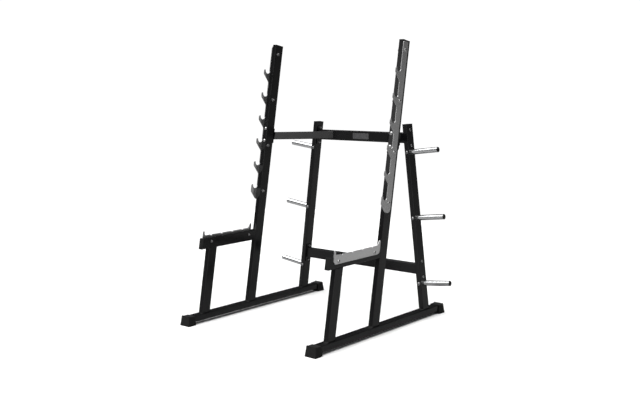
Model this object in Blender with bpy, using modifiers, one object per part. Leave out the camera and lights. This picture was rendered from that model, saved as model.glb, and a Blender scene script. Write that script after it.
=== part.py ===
# Free-standing squat rack: two leaning side frames, two crossbars behind them and six plate pegs.
# Metres, +Z up. The front, where the bar is taken from the hooks, faces -Y, and +X is the right side.
# The origin is on the floor, in the middle of the base.

import math

import bmesh
import bpy
from mathutils import Euler, Matrix, Vector

# Clearance between pieces that touch on the real rack
GAP = 0.0003

# Base of each side frame
FRAME_SPACING = 1.064
BASE_LENGTH = 1.350
RAIL_LIFT = 0.018

# Tube sections: the beams are posts, arms and crossbars, the rails lie flat and the braces on edge
BEAM_LONG = 0.070
BEAM_SHORT = 0.035
RAIL_WIDTH = 0.060
RAIL_HEIGHT = 0.040
BRACE_HEIGHT = 0.051
BRACE_DEPTH = 0.035
TUBE_WALL = 0.002
TUBE_CORNER = 0.004

# Boots over the ends of the rails
BOOT_LENGTH = 0.062
BOOT_WALL = 0.0015
BOOT_END_WALL = 0.014
BOOT_FOOT_WIDTH = 0.082
BOOT_TOP_WIDTH = 0.069
BOOT_FOOT_EDGE = 0.004
BOOT_END_SLOPE = 0.010
BOOT_LIP_LENGTH = 0.012
BOOT_LIP_RISE = 0.004
BOOT_CORNER = 0.0035

# Posts: where their axes cross the top of the rail, how they lean and how long they are. The rear ones
# splay outward at the foot and rake back a little
FRONT_POST_SETBACK = 0.173
UPRIGHT_Y = -0.0735
REAR_POST_SETBACK = 0.190
LEAN = math.radians(10.2)
SPLAY = math.radians(7.07)
RAKE = math.radians(0.4)
UPRIGHT_LENGTH = 1.7695
REAR_POST_LENGTH = 1.222

# Spotter arms
ARM_BOTTOM = 0.479
ARM_OVERHANG = 0.061

# Plastic caps in the open tube ends
CAP_THICKNESS = 0.004
CAP_PLUG_DEPTH = 0.015
CAP_PLUG_WALL = 0.0025
CAP_PLUG_CORNER = 0.0015
CAP_LIP = 0.0005

# Fasteners
BOLT_DIAMETER = 0.010
BOLT_HEAD = 0.020
BOLT_HEAD_HEIGHT = 0.0065
PEG_BOLT_HEAD = 0.024
PEG_BOLT_HEAD_HEIGHT = 0.008
NUT_ACROSS = 0.017
NUT_HEIGHT = 0.010
BOLT_END = 0.004
BOLT_SIDES = 8

# A low dome, for bolt heads and peg caps: its shoulder and its rim as shares of the diameter and height
DOME_SHOULDER = (0.32, 0.85)
DOME_RIM = (0.5, 0.35)

# Hook plates, measured along the upright (s) and across its depth (d, rear is positive)
PLATE_THICKNESS = 0.005
HOOK_COUNT = 6
HOOK_PITCH = 0.159
HOOK_PLATE_TOP_DROP = 0.006
TOP_THROAT_DROP = 0.2005
SLOT_WIDTH = 0.042
HORN_WIDTH = 0.0135
HORN_RISE = 0.025
HORN_HEEL = 0.006
HOOK_ROOT_DROP = 0.056
PLATE_PROUD = 0.003
PLATE_REAR_SETBACK = 0.0235
PLATE_CORNER = 0.012
TOP_REAR_CORNER = 0.003
HEEL_CORNER = 0.005
LAST_HORN_HEEL = 0.025
HOOK_TAIL_DROP = 0.0735
TAIL_RADIUS = 0.029
TAIL_FLAT = 0.012
HOOK_BOLT_COUNT = 4
HOOK_BOLT_TOP_DROP = 0.055
HOOK_BOLT_PITCH = 0.316

# Spotter plates, measured along the floor (y) and up (z)
SPOTTER_FRONT_SETBACK = 0.030
SPOTTER_REAR_MARGIN = 0.012
SPOTTER_BOTTOM_RISE = 0.0285
SPOTTER_HEIGHT = 0.054
SPOTTER_HORN_RISE = 0.029
SPOTTER_HORN_TIP = 0.014
SPOTTER_HORN_FILLET = 0.010
SPOTTER_FRONT_HORN_BASE = 0.032
SPOTTER_REAR_HORN_BASE = 0.036
SPOTTER_FRONT_LEAN = 0.009
SPOTTER_REAR_LEAN = 0.007
SPOTTER_CORNER = 0.020
SPOTTER_REAR_CORNER = 0.029
SPOTTER_CHAMFER = 0.014
SPOTTER_NOTCHES = 4
SPOTTER_NOTCH_PITCH = 0.096
SPOTTER_NOTCH_DEPTH = 0.007
SPOTTER_NOTCH_RADIUS = 0.007
SPOTTER_FRONT_BOLT_INSET = 0.048
SPOTTER_REAR_BOLT_INSET = 0.054
SPOTTER_BOLT_RISE = 0.015

# Weight pegs, measured down the rear post from its open top
PEG_COUNT = 3
PEG_DIAMETER = 0.035
PEG_WALL = 0.002
PEG_LENGTH = 0.202
PEG_TOP_DROP = 0.1825
PEG_PITCH = 0.4345
PEG_SIDES = 16
PEG_CAP_THICKNESS = 0.004
PEG_CAP_PLUG = 0.012

# Crossbars, their end flanges and the badge plate
UPPER_BAR_DROP = 0.088
LOWER_BAR_DROP = 0.958
FLANGE_THICKNESS = 0.005
BAR_FLANGE_HEIGHT = 0.130
BAR_FLANGE_WIDTH = 0.050
BAR_BOLT_SPREAD = 0.104
FLANGE_VENT = 0.016
BADGE_WIDTH = 0.136
BADGE_HEIGHT = 0.040
BADGE_THICKNESS = 0.002
BADGE_X = 0.010

# Diagonal braces
BRACE_FOOT_X = 0.2565
BRACE_FLANGE_HEIGHT = 0.104
BRACE_FLANGE_WIDTH = 0.035
BRACE_BOLT_SPREAD = 0.083
FLANGE_CORNER = 0.006

# Heights and places that follow from the sizes above
SIDES = {"left": -1, "right": 1}
RAIL_TOP = RAIL_LIFT + RAIL_HEIGHT
HALF_SPACING = FRAME_SPACING / 2
HALF_BASE = BASE_LENGTH / 2
FRONT_POST_Y = -HALF_BASE + FRONT_POST_SETBACK
REAR_POST_Y = HALF_BASE - REAR_POST_SETBACK
ARM_TOP = ARM_BOTTOM + BEAM_LONG
POST_FACE = BEAM_LONG / 2 / math.cos(LEAN)
BOLT_HOLE = BOLT_DIAMETER + 2 * GAP

# Edges sharper than this stay crisp in the smooth shading, and the boots' edges are rounded
SHARP_EDGE = math.radians(35)
BOOT_EDGE = math.radians(50)

# How a flat outline (x, y) and its thickness (z) are turned in the frame of its parent
FLAT = Euler((0, 0, 0))
OUTLINE_YZ = Euler((math.pi / 2, 0, math.pi / 2))
OUTLINE_XZ = Euler((math.pi / 2, 0, 0))

# Colours read from the photograph, with roughness and metallic value
FINISHES = {
    "black_powder_coat": ((0.015, 0.015, 0.016), 0.38, 0.0),
    "grey_plate": ((0.26, 0.26, 0.27), 0.35, 0.8),
    "bright_zinc": ((0.62, 0.62, 0.63), 0.25, 1.0),
    "chrome": ((0.75, 0.76, 0.77), 0.08, 1.0),
    "black_rubber": ((0.012, 0.012, 0.012), 0.75, 0.0),
    "black_plastic": ((0.010, 0.010, 0.010), 0.5, 0.0),
    "badge_grey": ((0.20, 0.20, 0.21), 0.4, 0.5),
}


def clear_scene():
    for obj in list(bpy.data.objects):
        bpy.data.objects.remove(obj, do_unlink=True)


def new_collection(name):
    collection = bpy.data.collections.new(name)
    bpy.context.scene.collection.children.link(collection)
    return collection


def make_materials():
    materials = {}
    for name, (colour, roughness, metallic) in FINISHES.items():
        material = bpy.data.materials.new(name)
        material.use_nodes = True
        shader = material.node_tree.nodes["Principled BSDF"]
        shader.inputs["Base Color"].default_value = (*colour, 1)
        shader.inputs["Roughness"].default_value = roughness
        shader.inputs["Metallic"].default_value = metallic
        material.diffuse_color = (*colour, 1)
        materials[name] = material
    return materials


clear_scene()
RACK = new_collection("squat_rack")
CUTTERS = new_collection("cutters")
MATERIALS = make_materials()


def add_part(name, mesh, finish, parent=None, location=(0, 0, 0), turn=FLAT):
    """A sub-part placed in the frame of its parent."""
    part = bpy.data.objects.new(name, mesh)
    mesh.name = name
    mesh.materials.clear()
    mesh.materials.append(MATERIALS[finish])
    mesh.shade_smooth()
    mesh.set_sharp_from_angle(angle=SHARP_EDGE)
    RACK.objects.link(part)
    part.parent = parent
    part.location = location
    part.rotation_euler = turn
    return part


def add_cutter(name, mesh, parent=None, location=(0, 0, 0), turn=FLAT):
    """A guide that only cuts or joins, left out of the finished rack."""
    cutter = bpy.data.objects.new(name, mesh)
    CUTTERS.objects.link(cutter)
    cutter.hide_render = True
    cutter.display_type = "WIRE"
    cutter.parent = parent
    cutter.location = location
    cutter.rotation_euler = turn
    return cutter


def combine(part, other, operation="DIFFERENCE"):
    modifier = part.modifiers.new(other.name, "BOOLEAN")
    modifier.operation = operation
    modifier.solver = "EXACT"
    modifier.object = other


def add_frame(name, location, turn):
    """An empty that carries the pieces of one leaning post."""
    frame = bpy.data.objects.new(name, None)
    frame.empty_display_size = 0.05
    RACK.objects.link(frame)
    frame.location = location
    frame.rotation_euler = turn
    return frame


def arc(centre, radius, start, end, steps):
    """Points on an arc between two angles in degrees, both ends included."""
    points = []
    for step in range(steps + 1):
        angle = math.radians(start + (end - start) * step / steps)
        points.append((centre[0] + radius * math.cos(angle), centre[1] + radius * math.sin(angle)))
    return points


def circle(diameter, sides, centre=(0, 0)):
    return arc(centre, diameter / 2, 0, 360, sides)[:-1]


def rounded_rectangle(width, height, radius, steps=3, centre=(0, 0)):
    x = width / 2 - radius
    y = height / 2 - radius
    points = []
    for sign_x, sign_y, start in ((1, 1, 0), (-1, 1, 90), (-1, -1, 180), (1, -1, 270)):
        corner = (centre[0] + sign_x * x, centre[1] + sign_y * y)
        points += arc(corner, radius, start, start + 90, steps)
    return points


def outline_object(outlines, thickness, fill):
    """A 2D curve through the outlines' points, extruded both ways from its plane."""
    curve = bpy.data.curves.new("outline", "CURVE")
    curve.dimensions = "2D"
    curve.fill_mode = fill
    curve.extrude = thickness / 2
    for points in outlines:
        spline = curve.splines.new("POLY")
        spline.points.add(len(points) - 1)
        for target, (x, y) in zip(spline.points, points):
            target.co = (x, y, 0, 1)
        spline.use_cyclic_u = True
    holder = bpy.data.objects.new("outline", curve)
    CUTTERS.objects.link(holder)
    return holder


def evaluated_mesh(holder):
    """The mesh of a helper object with its modifiers, welded. The helper itself is removed."""
    depsgraph = bpy.context.evaluated_depsgraph_get()
    mesh = bpy.data.meshes.new_from_object(holder.evaluated_get(depsgraph))
    bpy.data.objects.remove(holder, do_unlink=True)
    work = bmesh.new()
    work.from_mesh(mesh)
    bmesh.ops.remove_doubles(work, verts=work.verts, dist=0.000001)
    bmesh.ops.recalc_face_normals(work, faces=work.faces)
    work.to_mesh(mesh)
    work.free()
    return mesh


def flat_mesh(outlines, thickness):
    """A closed plate: the first outline filled, the others left open, thickness along Z."""
    return evaluated_mesh(outline_object(outlines, thickness, "BOTH"))


def pipe_mesh(outline, wall, length):
    """A pipe along Z, open at both ends: the outline's own wall, thickened inwards."""
    pipe = bpy.data.objects.new("pipe", evaluated_mesh(outline_object([outline], length, "NONE")))
    CUTTERS.objects.link(pipe)
    shell = pipe.modifiers.new("wall", "SOLIDIFY")
    shell.thickness = wall
    shell.offset = -1
    shell.use_even_offset = True
    return evaluated_mesh(pipe)


def turned_mesh(profile, sides):
    """A solid turned about Z from (radius, height) points listed from its top to its bottom."""
    mesh = bpy.data.meshes.new("profile")
    points = [(radius, 0, height) for radius, height in profile]
    edges = [(index, index + 1) for index in range(len(points) - 1)]
    mesh.from_pydata(points, edges, [])
    holder = bpy.data.objects.new("profile", mesh)
    CUTTERS.objects.link(holder)
    screw = holder.modifiers.new("turn", "SCREW")
    screw.steps = sides
    screw.render_steps = sides
    screw.use_merge_vertices = True
    screw.merge_threshold = 0.0001
    return evaluated_mesh(holder)


def box_mesh(low, high):
    """A box between two corners."""
    mesh = bpy.data.meshes.new("box")
    work = bmesh.new()
    bmesh.ops.create_cube(work, size=1)
    low = Vector(low)
    high = Vector(high)
    for vertex in work.verts:
        share = vertex.co + Vector((0.5, 0.5, 0.5))
        vertex.co = low + Vector(a * b for a, b in zip(share, high - low))
    work.to_mesh(mesh)
    work.free()
    return mesh


def repeated_mesh(mesh, places):
    """One mesh that holds a copy of another at each (location, turn), as separate solids."""
    group = bpy.data.meshes.new("group")
    work = bmesh.new()
    for location, turn in places:
        copy = mesh.copy()
        copy.transform(Matrix.Translation(location) @ turn.to_matrix().to_4x4())
        work.from_mesh(copy)
    work.to_mesh(group)
    work.free()
    return group


def tube_mesh(long_side, short_side, length):
    """A rectangular tube along Z, its long side along Y."""
    return pipe_mesh(rounded_rectangle(short_side, long_side, TUBE_CORNER), TUBE_WALL, length)


def cap_meshes(long_side, short_side):
    """A push-in cap for a tube's end at z = 0: the rim that lies on it and the plug that goes down."""
    rim_outline = rounded_rectangle(short_side + 2 * CAP_LIP, long_side + 2 * CAP_LIP, TUBE_CORNER)
    rim = flat_mesh([rim_outline], CAP_THICKNESS)
    rim.transform(Matrix.Translation((0, 0, GAP + CAP_THICKNESS / 2)))
    inset = 2 * (TUBE_WALL + GAP)
    plug_corner = CAP_PLUG_CORNER + CAP_PLUG_WALL
    plug_outline = rounded_rectangle(short_side - inset, long_side - inset, plug_corner)
    height = CAP_PLUG_DEPTH + CAP_THICKNESS / 2
    plug = pipe_mesh(plug_outline, CAP_PLUG_WALL, height)
    plug.transform(Matrix.Translation((0, 0, GAP + CAP_THICKNESS / 2 - height / 2)))
    return rim, plug


def dome_profile(diameter, height):
    """A low dome on a seat just above z = 0, as (radius, height) points from its top to its seat."""
    shares = [(0, 1), DOME_SHOULDER, DOME_RIM]
    return [(diameter * r, GAP + height * h) for r, h in shares] + [(diameter / 2, GAP)]


def bolt_mesh(grip, head=BOLT_HEAD, head_height=BOLT_HEAD_HEIGHT):
    """A dome-headed bolt, its head above z = 0 and its shank down through the grip and the nut."""
    shank = BOLT_DIAMETER / 2
    end = -grip - GAP - NUT_HEIGHT - BOLT_END
    return turned_mesh(dome_profile(head, head_height) + [(shank, GAP), (shank, end), (0, end)], BOLT_SIDES)


def add_bolt(name, frame, location, turn, grip, head=BOLT_HEAD, head_height=BOLT_HEAD_HEIGHT):
    """A bolt with its hexagon nut done up. The head's seat is at the location, the grip is below it."""
    bolt = add_part(name, bolt_mesh(grip, head, head_height), "bright_zinc", frame, location, turn)
    nut = flat_mesh([circle(NUT_ACROSS / math.cos(math.pi / 6), 6)], NUT_HEIGHT)
    nut.transform(Matrix.Translation((0, 0, -grip - GAP - NUT_HEIGHT / 2)))
    combine(bolt, add_cutter(name + "_nut", nut, frame, location, turn), "UNION")


def hole_mesh(diameter, depth, sides=BOLT_SIDES):
    """A round bar along Z, centred, that cuts a hole."""
    return flat_mesh([circle(diameter, sides)], depth)


def outward(side):
    """Turns a bolt's head towards the outer side of a frame."""
    return Euler((0, side * math.pi / 2, 0))


def facing(end):
    """Turns a block that runs back from a front end (-1) so that it also fits a rear end (1)."""
    return Euler((0, 0, (end + 1) * math.pi / 2))


TO_FRONT = Euler((math.pi / 2, 0, 0))


def upright_y(height):
    """Where the upright's axis is at a height above the floor."""
    return UPRIGHT_Y + (height - RAIL_TOP) * math.tan(LEAN)


def front_post_y(height):
    return FRONT_POST_Y + (height - RAIL_TOP) * math.tan(LEAN)


def arm_front_y(height):
    """Where the spotter arm's front end is at a height: it is cut parallel to the posts."""
    return front_post_y(height) - POST_FACE - ARM_OVERHANG


def rear_post_y(height):
    return REAR_POST_Y + (height - RAIL_TOP) * math.tan(RAKE) / math.cos(SPLAY)


def bar_height(drop):
    """Height of a crossbar whose centre is a drop below the rear posts' tops."""
    return RAIL_TOP + (REAR_POST_LENGTH - drop) * math.cos(SPLAY) * math.cos(RAKE)


UPPER_BAR_Z = bar_height(UPPER_BAR_DROP)
LOWER_BAR_Z = bar_height(LOWER_BAR_DROP)
HOOK_PLATE_TOP = UPRIGHT_LENGTH - HOOK_PLATE_TOP_DROP
PLATE_FRONT_D = -BEAM_LONG / 2 - PLATE_PROUD
PLATE_REAR_D = BEAM_LONG / 2 - PLATE_REAR_SETBACK
OUTER_PLATE_X = BEAM_SHORT / 2 + GAP + PLATE_THICKNESS / 2
PLATE_GRIP = BEAM_SHORT + GAP + PLATE_THICKNESS
BRACE_FLANGE_S = (UPPER_BAR_Z - RAIL_TOP + BEAM_LONG / 2 * math.sin(LEAN)) / math.cos(LEAN)


def base_rails_and_boots(side_name, side):
    x = side * HALF_SPACING
    z = RAIL_LIFT + RAIL_HEIGHT / 2
    length = BASE_LENGTH - 2 * (BOOT_END_WALL + GAP)
    rail = tube_mesh(RAIL_HEIGHT, RAIL_WIDTH, length)
    add_part(side_name + "_base_rail", rail, "black_powder_coat", None, (x, 0, z), OUTLINE_XZ)
    for end_name, end in (("front", -1), ("rear", 1)):
        boot(side_name + "_" + end_name + "_boot", x, end)


def boot(name, x, end):
    """A rubber boot over a rail end: it flares to a wide foot and has a raised lip at its outer end."""
    shell = add_part(name, boot_block(), "black_rubber", None, (x, end * HALF_BASE, 0), facing(end))
    edges = shell.modifiers.new("rounded_edges", "BEVEL")
    edges.width = BOOT_CORNER
    edges.segments = 2
    edges.angle_limit = BOOT_EDGE
    pocket_outline = rounded_rectangle(RAIL_WIDTH + 2 * GAP, RAIL_HEIGHT + 2 * GAP, TUBE_CORNER)
    pocket_centre = end * (HALF_BASE - BOOT_END_WALL - BOOT_LENGTH / 2)
    pocket = add_cutter(name + "_pocket", flat_mesh([pocket_outline], BOOT_LENGTH), None,
                        (x, pocket_centre, RAIL_LIFT + RAIL_HEIGHT / 2), OUTLINE_XZ)
    combine(shell, pocket)


def boot_block():
    """The boot's outer form, from its outer end at y = 0 back to its collar."""
    collar_top = RAIL_TOP + GAP + BOOT_WALL
    lip_top = collar_top + BOOT_LIP_RISE
    side = [
        (0, 0),
        (BOOT_LENGTH, 0),
        (BOOT_LENGTH, collar_top),
        (BOOT_END_SLOPE + BOOT_LIP_LENGTH, collar_top),
        (BOOT_END_SLOPE + BOOT_LIP_LENGTH / 2, lip_top),
        (BOOT_END_SLOPE, lip_top),
    ]
    mesh = flat_mesh([side], 2)
    mesh.transform(OUTLINE_YZ.to_matrix().to_4x4())
    work = bmesh.new()
    work.from_mesh(mesh)
    everything = work.verts[:] + work.edges[:] + work.faces[:]
    bmesh.ops.bisect_plane(work, geom=everything, plane_co=(0, 0, BOOT_FOOT_EDGE), plane_no=(0, 0, 1))
    for vertex in work.verts:
        share = max(vertex.co.z - BOOT_FOOT_EDGE, 0) / (lip_top - BOOT_FOOT_EDGE)
        width = BOOT_FOOT_WIDTH + (BOOT_TOP_WIDTH - BOOT_FOOT_WIDTH) * share
        vertex.co.x *= width / 2
    work.to_mesh(mesh)
    work.free()
    return mesh


def post(name, frame, low, high):
    """A beam-section post along its frame's Z between two distances from the top of the rail."""
    mesh = tube_mesh(BEAM_LONG, BEAM_SHORT, high - low)
    return add_part(name, mesh, "black_powder_coat", frame, (0, 0, (low + high) / 2))


def tube_cap(name, frame, location, turn, slant=0):
    """A cap in a beam's end. A slant, up its long side, is for an end that isn't cut square."""
    rim, plug = cap_meshes(BEAM_LONG, BEAM_SHORT)
    shear = Matrix.Identity(4)
    shear[2][1] = -slant
    rim.transform(shear)
    plug.transform(shear)
    cap = add_part(name, rim, "black_plastic", frame, location, turn)
    combine(cap, add_cutter(name + "_plug", plug, frame, location, turn), "UNION")


def drilled(part, name, diameter, depth, frame, places, sides=BOLT_SIDES):
    """Holes through a part, at places given as (location, turn) in a frame."""
    bars = repeated_mesh(hole_mesh(diameter, depth, sides), places)
    combine(part, add_cutter(name, bars, frame))


def hook_outline():
    """The hook plate's outline: x is the depth d, y the distance s along the upright."""
    slot_radius = SLOT_WIDTH / 2
    slot_x = PLATE_FRONT_D + PLATE_PROUD - slot_radius
    horn_radius = HORN_WIDTH / 2
    tip_fall = max(slot_radius - HORN_RISE + horn_radius, 0)
    tip_turn = math.degrees(math.asin(tip_fall / (slot_radius + horn_radius)))
    horn_x = slot_x - (slot_radius + horn_radius) * math.cos(math.radians(tip_turn))
    heel_x = horn_x - horn_radius
    top_rear = (PLATE_REAR_D - TOP_REAR_CORNER, HOOK_PLATE_TOP - TOP_REAR_CORNER)
    points = arc(top_rear, TOP_REAR_CORNER, 0, 90, 2)
    points += arc((PLATE_FRONT_D + PLATE_CORNER, HOOK_PLATE_TOP - PLATE_CORNER), PLATE_CORNER, 90, 180, 4)
    for index in range(HOOK_COUNT):
        throat = UPRIGHT_LENGTH - TOP_THROAT_DROP - index * HOOK_PITCH
        slot_y = throat + slot_radius
        points.append((PLATE_FRONT_D, slot_y + PLATE_PROUD))
        points += arc((slot_x, slot_y), slot_radius, 0, tip_turn - 180, 10)
        points += arc((horn_x, throat + HORN_RISE - horn_radius), horn_radius, tip_turn, 180, 6)[1:]
        heel = throat - (HORN_HEEL if index < HOOK_COUNT - 1 else LAST_HORN_HEEL)
        points.append((heel_x, heel + HEEL_CORNER))
        points.append((heel_x + HEEL_CORNER / 2, heel - HEEL_CORNER / 2))
        if index < HOOK_COUNT - 1:
            points.append((PLATE_FRONT_D - HEEL_CORNER / 2, throat - HOOK_ROOT_DROP + HEEL_CORNER / 2))
            points.append((PLATE_FRONT_D, throat - HOOK_ROOT_DROP - HEEL_CORNER))
    tail_y = throat - HOOK_TAIL_DROP + TAIL_RADIUS
    points += arc((PLATE_REAR_D - TAIL_RADIUS - TAIL_FLAT, tail_y), TAIL_RADIUS, 225, 270, 3)
    points += arc((PLATE_REAR_D - TAIL_RADIUS, tail_y), TAIL_RADIUS, 270, 360, 5)
    return points


def hook_bolt_heights():
    return [HOOK_PLATE_TOP - HOOK_BOLT_TOP_DROP - index * HOOK_BOLT_PITCH for index in range(HOOK_BOLT_COUNT)]


def main_upright(side_name, side, floor_trim):
    frame = add_frame(side_name + "_upright_axis", (side * HALF_SPACING, UPRIGHT_Y, RAIL_TOP),
                      Euler((-LEAN, 0, 0)))
    upright = post(side_name + "_main_upright", frame, -BEAM_LONG / 2, UPRIGHT_LENGTH)
    combine(upright, floor_trim)
    tube_cap(side_name + "_upright_cap", frame, (0, 0, UPRIGHT_LENGTH), FLAT)

    bolt_d = (PLATE_FRONT_D + PLATE_REAR_D) / 2
    plate_holes = [circle(BOLT_HOLE, BOLT_SIDES, (bolt_d, s)) for s in hook_bolt_heights()]
    add_part(side_name + "_hook_plate", flat_mesh([hook_outline()] + plate_holes, PLATE_THICKNESS),
             "grey_plate", frame, (side * OUTER_PLATE_X, 0, 0), OUTLINE_YZ)
    head_x = side * (OUTER_PLATE_X + PLATE_THICKNESS / 2)
    for number, s in enumerate(hook_bolt_heights(), start=1):
        add_bolt(f"{side_name}_hook_bolt_{number}", frame, (head_x, bolt_d, s), outward(side), PLATE_GRIP)
    cross_holes = [((0, bolt_d, s), outward(side)) for s in hook_bolt_heights()]
    drilled(upright, side_name + "_hook_bolt_holes", BOLT_HOLE, 2 * BEAM_SHORT, frame, cross_holes)
    brace_joint(side_name, frame, upright)
    return frame


def brace_joint(side_name, frame, upright):
    """Two bolts from the front of the upright, which hold the brace's flange behind it."""
    heights = {"lower": BRACE_FLANGE_S - BRACE_BOLT_SPREAD / 2, "upper": BRACE_FLANGE_S + BRACE_BOLT_SPREAD / 2}
    grip = BEAM_LONG + GAP + FLANGE_THICKNESS
    for place, s in heights.items():
        add_bolt(f"{side_name}_brace_bolt_{place}", frame, (0, -BEAM_LONG / 2, s), TO_FRONT, grip)
    holes = [((0, 0, s), TO_FRONT) for s in heights.values()]
    drilled(upright, side_name + "_brace_bolt_holes", BOLT_HOLE, 2 * BEAM_LONG, frame, holes)


def front_post(side_name, side, floor_trim, arm_trim):
    frame = add_frame(side_name + "_front_post_axis", (side * HALF_SPACING, FRONT_POST_Y, RAIL_TOP),
                      Euler((-LEAN, 0, 0)))
    high = (ARM_TOP - RAIL_TOP) / math.cos(LEAN)
    tube = post(side_name + "_front_post", frame, -BEAM_LONG / 2, high)
    combine(tube, floor_trim)
    combine(tube, arm_trim)
    return frame


def spotter_outline(length):
    """The spotter plate's outline: x runs back from its front edge, y up from its lower edge."""
    top = SPOTTER_HEIGHT
    tip = SPOTTER_HORN_TIP / 2
    tip_y = top + SPOTTER_HORN_RISE - tip
    points = [(0, SPOTTER_CORNER), (SPOTTER_CHAMFER, 0)]
    rear_corner = (length - SPOTTER_REAR_CORNER, SPOTTER_REAR_CORNER)
    points += arc(rear_corner, SPOTTER_REAR_CORNER, 270, 360, 4)
    points += arc((length + SPOTTER_REAR_LEAN - tip, tip_y), tip, 0, 180, 4)
    rear_fillet = (length + SPOTTER_REAR_LEAN - SPOTTER_REAR_HORN_BASE, top + SPOTTER_HORN_FILLET)
    points += arc(rear_fillet, SPOTTER_HORN_FILLET, 330, 270, 3)
    drop = SPOTTER_NOTCH_RADIUS - SPOTTER_NOTCH_DEPTH
    half = math.degrees(math.acos(drop / SPOTTER_NOTCH_RADIUS))
    for index in reversed(range(SPOTTER_NOTCHES)):
        centre = length / 2 + (index - (SPOTTER_NOTCHES - 1) / 2) * SPOTTER_NOTCH_PITCH
        points += arc((centre, top + drop), SPOTTER_NOTCH_RADIUS, 270 + half, 270 - half, 6)
    front_fillet = (SPOTTER_FRONT_HORN_BASE, top + SPOTTER_HORN_FILLET)
    points += arc(front_fillet, SPOTTER_HORN_FILLET, 270, 190, 4)
    points += arc((SPOTTER_FRONT_LEAN + tip, tip_y), tip, 0, 180, 4)
    return points


def spotter_arm(side_name, side, upright_frame, post_frame):
    z = (ARM_BOTTOM + ARM_TOP) / 2
    tube_front = arm_front_y(z) + CAP_THICKNESS + GAP
    start = arm_front_y(ARM_BOTTOM)
    rear = upright_y(ARM_TOP)
    x = side * HALF_SPACING
    tube = add_part(side_name + "_spotter_arm", tube_mesh(BEAM_LONG, BEAM_SHORT, rear - start),
                    "black_powder_coat", None, (x, (start + rear) / 2, z), OUTLINE_XZ)
    trim_low = (-BEAM_SHORT, -BEAM_LONG / 2 - GAP, 0)
    trim_high = (BEAM_SHORT, BEAM_LONG, 2 * ARM_TOP)
    combine(tube, add_cutter(side_name + "_arm_rear_trim", box_mesh(trim_low, trim_high), upright_frame))
    end_depth = (tube_front - front_post_y(z)) * math.cos(LEAN)
    trim_low = (-BEAM_SHORT, end_depth - BEAM_LONG, 0)
    trim_high = (BEAM_SHORT, end_depth, 2 * ARM_TOP)
    combine(tube, add_cutter(side_name + "_arm_front_trim", box_mesh(trim_low, trim_high), post_frame))
    tube_cap(side_name + "_spotter_arm_cap", None, (x, tube_front, z), TO_FRONT, math.tan(LEAN))

    low = ARM_BOTTOM + SPOTTER_BOTTOM_RISE
    front = arm_front_y(low) + SPOTTER_FRONT_SETBACK
    end = upright_y(low) - POST_FACE - SPOTTER_REAR_MARGIN
    length = end - front
    bolt_y = [SPOTTER_FRONT_BOLT_INSET, length - SPOTTER_REAR_BOLT_INSET]
    holes = [circle(BOLT_HOLE, BOLT_SIDES, (y, SPOTTER_BOLT_RISE)) for y in bolt_y]
    add_part(side_name + "_spotter_plate", flat_mesh([spotter_outline(length)] + holes, PLATE_THICKNESS),
             "grey_plate", None, (x + side * OUTER_PLATE_X, front, low), OUTLINE_YZ)
    bolt_z = low + SPOTTER_BOLT_RISE
    places = [((x, front + y, bolt_z), outward(side)) for y in bolt_y]
    drilled(tube, side_name + "_arm_bolt_holes", BOLT_HOLE, 2 * BEAM_SHORT, None, places)


def rear_post(side_name, side, floor_trim):
    frame = add_frame(side_name + "_rear_post_axis", (side * HALF_SPACING, REAR_POST_Y, RAIL_TOP),
                      Euler((-RAKE, -side * SPLAY, 0)))
    tube = post(side_name + "_rear_post", frame, -BEAM_SHORT / 2, REAR_POST_LENGTH)
    combine(tube, floor_trim)
    tube_cap(side_name + "_rear_post_cap", frame, (0, 0, REAR_POST_LENGTH), FLAT)
    weight_pegs(side_name, side, frame, tube)
    flange_holes = [((0, 0, s), outward(side)) for s in bar_bolt_heights()]
    drilled(tube, side_name + "_bar_bolt_holes", BOLT_HOLE, 2 * BEAM_SHORT, frame, flange_holes)
    return frame


def weight_pegs(side_name, side, frame, tube):
    """Three pegs set through the post's outer wall, each held by a bolt from the front."""
    inner_end = -(BEAM_SHORT / 2 - TUBE_WALL - GAP)
    outer_end = BEAM_SHORT / 2 + PEG_LENGTH
    length = outer_end - inner_end
    heights = [REAR_POST_LENGTH - PEG_TOP_DROP - index * PEG_PITCH for index in range(PEG_COUNT)]
    plug = PEG_DIAMETER / 2 - PEG_WALL - GAP
    cap = dome_profile(PEG_DIAMETER, PEG_CAP_THICKNESS)
    cap += [(plug, GAP), (plug, -PEG_CAP_PLUG), (0, -PEG_CAP_PLUG)]
    for place, s in zip(("top", "middle", "bottom"), heights):
        mesh = pipe_mesh(circle(PEG_DIAMETER, PEG_SIDES), PEG_WALL, length)
        name = f"{side_name}_weight_peg_{place}"
        peg = add_part(name, mesh, "chrome", frame, (side * (inner_end + outer_end) / 2, 0, s), outward(side))
        drilled(peg, name + "_bolt_hole", BOLT_HOLE, 2 * PEG_DIAMETER, frame, [((0, 0, s), TO_FRONT)])
        add_part(f"{side_name}_peg_cap_{place}", turned_mesh(cap, PEG_SIDES), "black_plastic", frame,
                 (side * outer_end, 0, s), outward(side))
        add_bolt(f"{side_name}_peg_bolt_{place}", frame, (0, -BEAM_LONG / 2, s), TO_FRONT, BEAM_LONG,
                 PEG_BOLT_HEAD, PEG_BOLT_HEAD_HEIGHT)
    holes = [((side * BEAM_SHORT, 0, s), outward(side)) for s in heights]
    drilled(tube, side_name + "_peg_holes", PEG_DIAMETER + 2 * GAP, 2 * BEAM_SHORT, frame, holes, PEG_SIDES)
    places = [((0, 0, s), TO_FRONT) for s in heights]
    drilled(tube, side_name + "_peg_bolt_holes", BOLT_HOLE, 2 * BEAM_LONG, frame, places)


def bar_bolt_heights():
    heights = []
    for drop in (UPPER_BAR_DROP, LOWER_BAR_DROP):
        centre = REAR_POST_LENGTH - drop
        heights += [centre - BAR_BOLT_SPREAD / 2, centre + BAR_BOLT_SPREAD / 2]
    return heights


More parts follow.
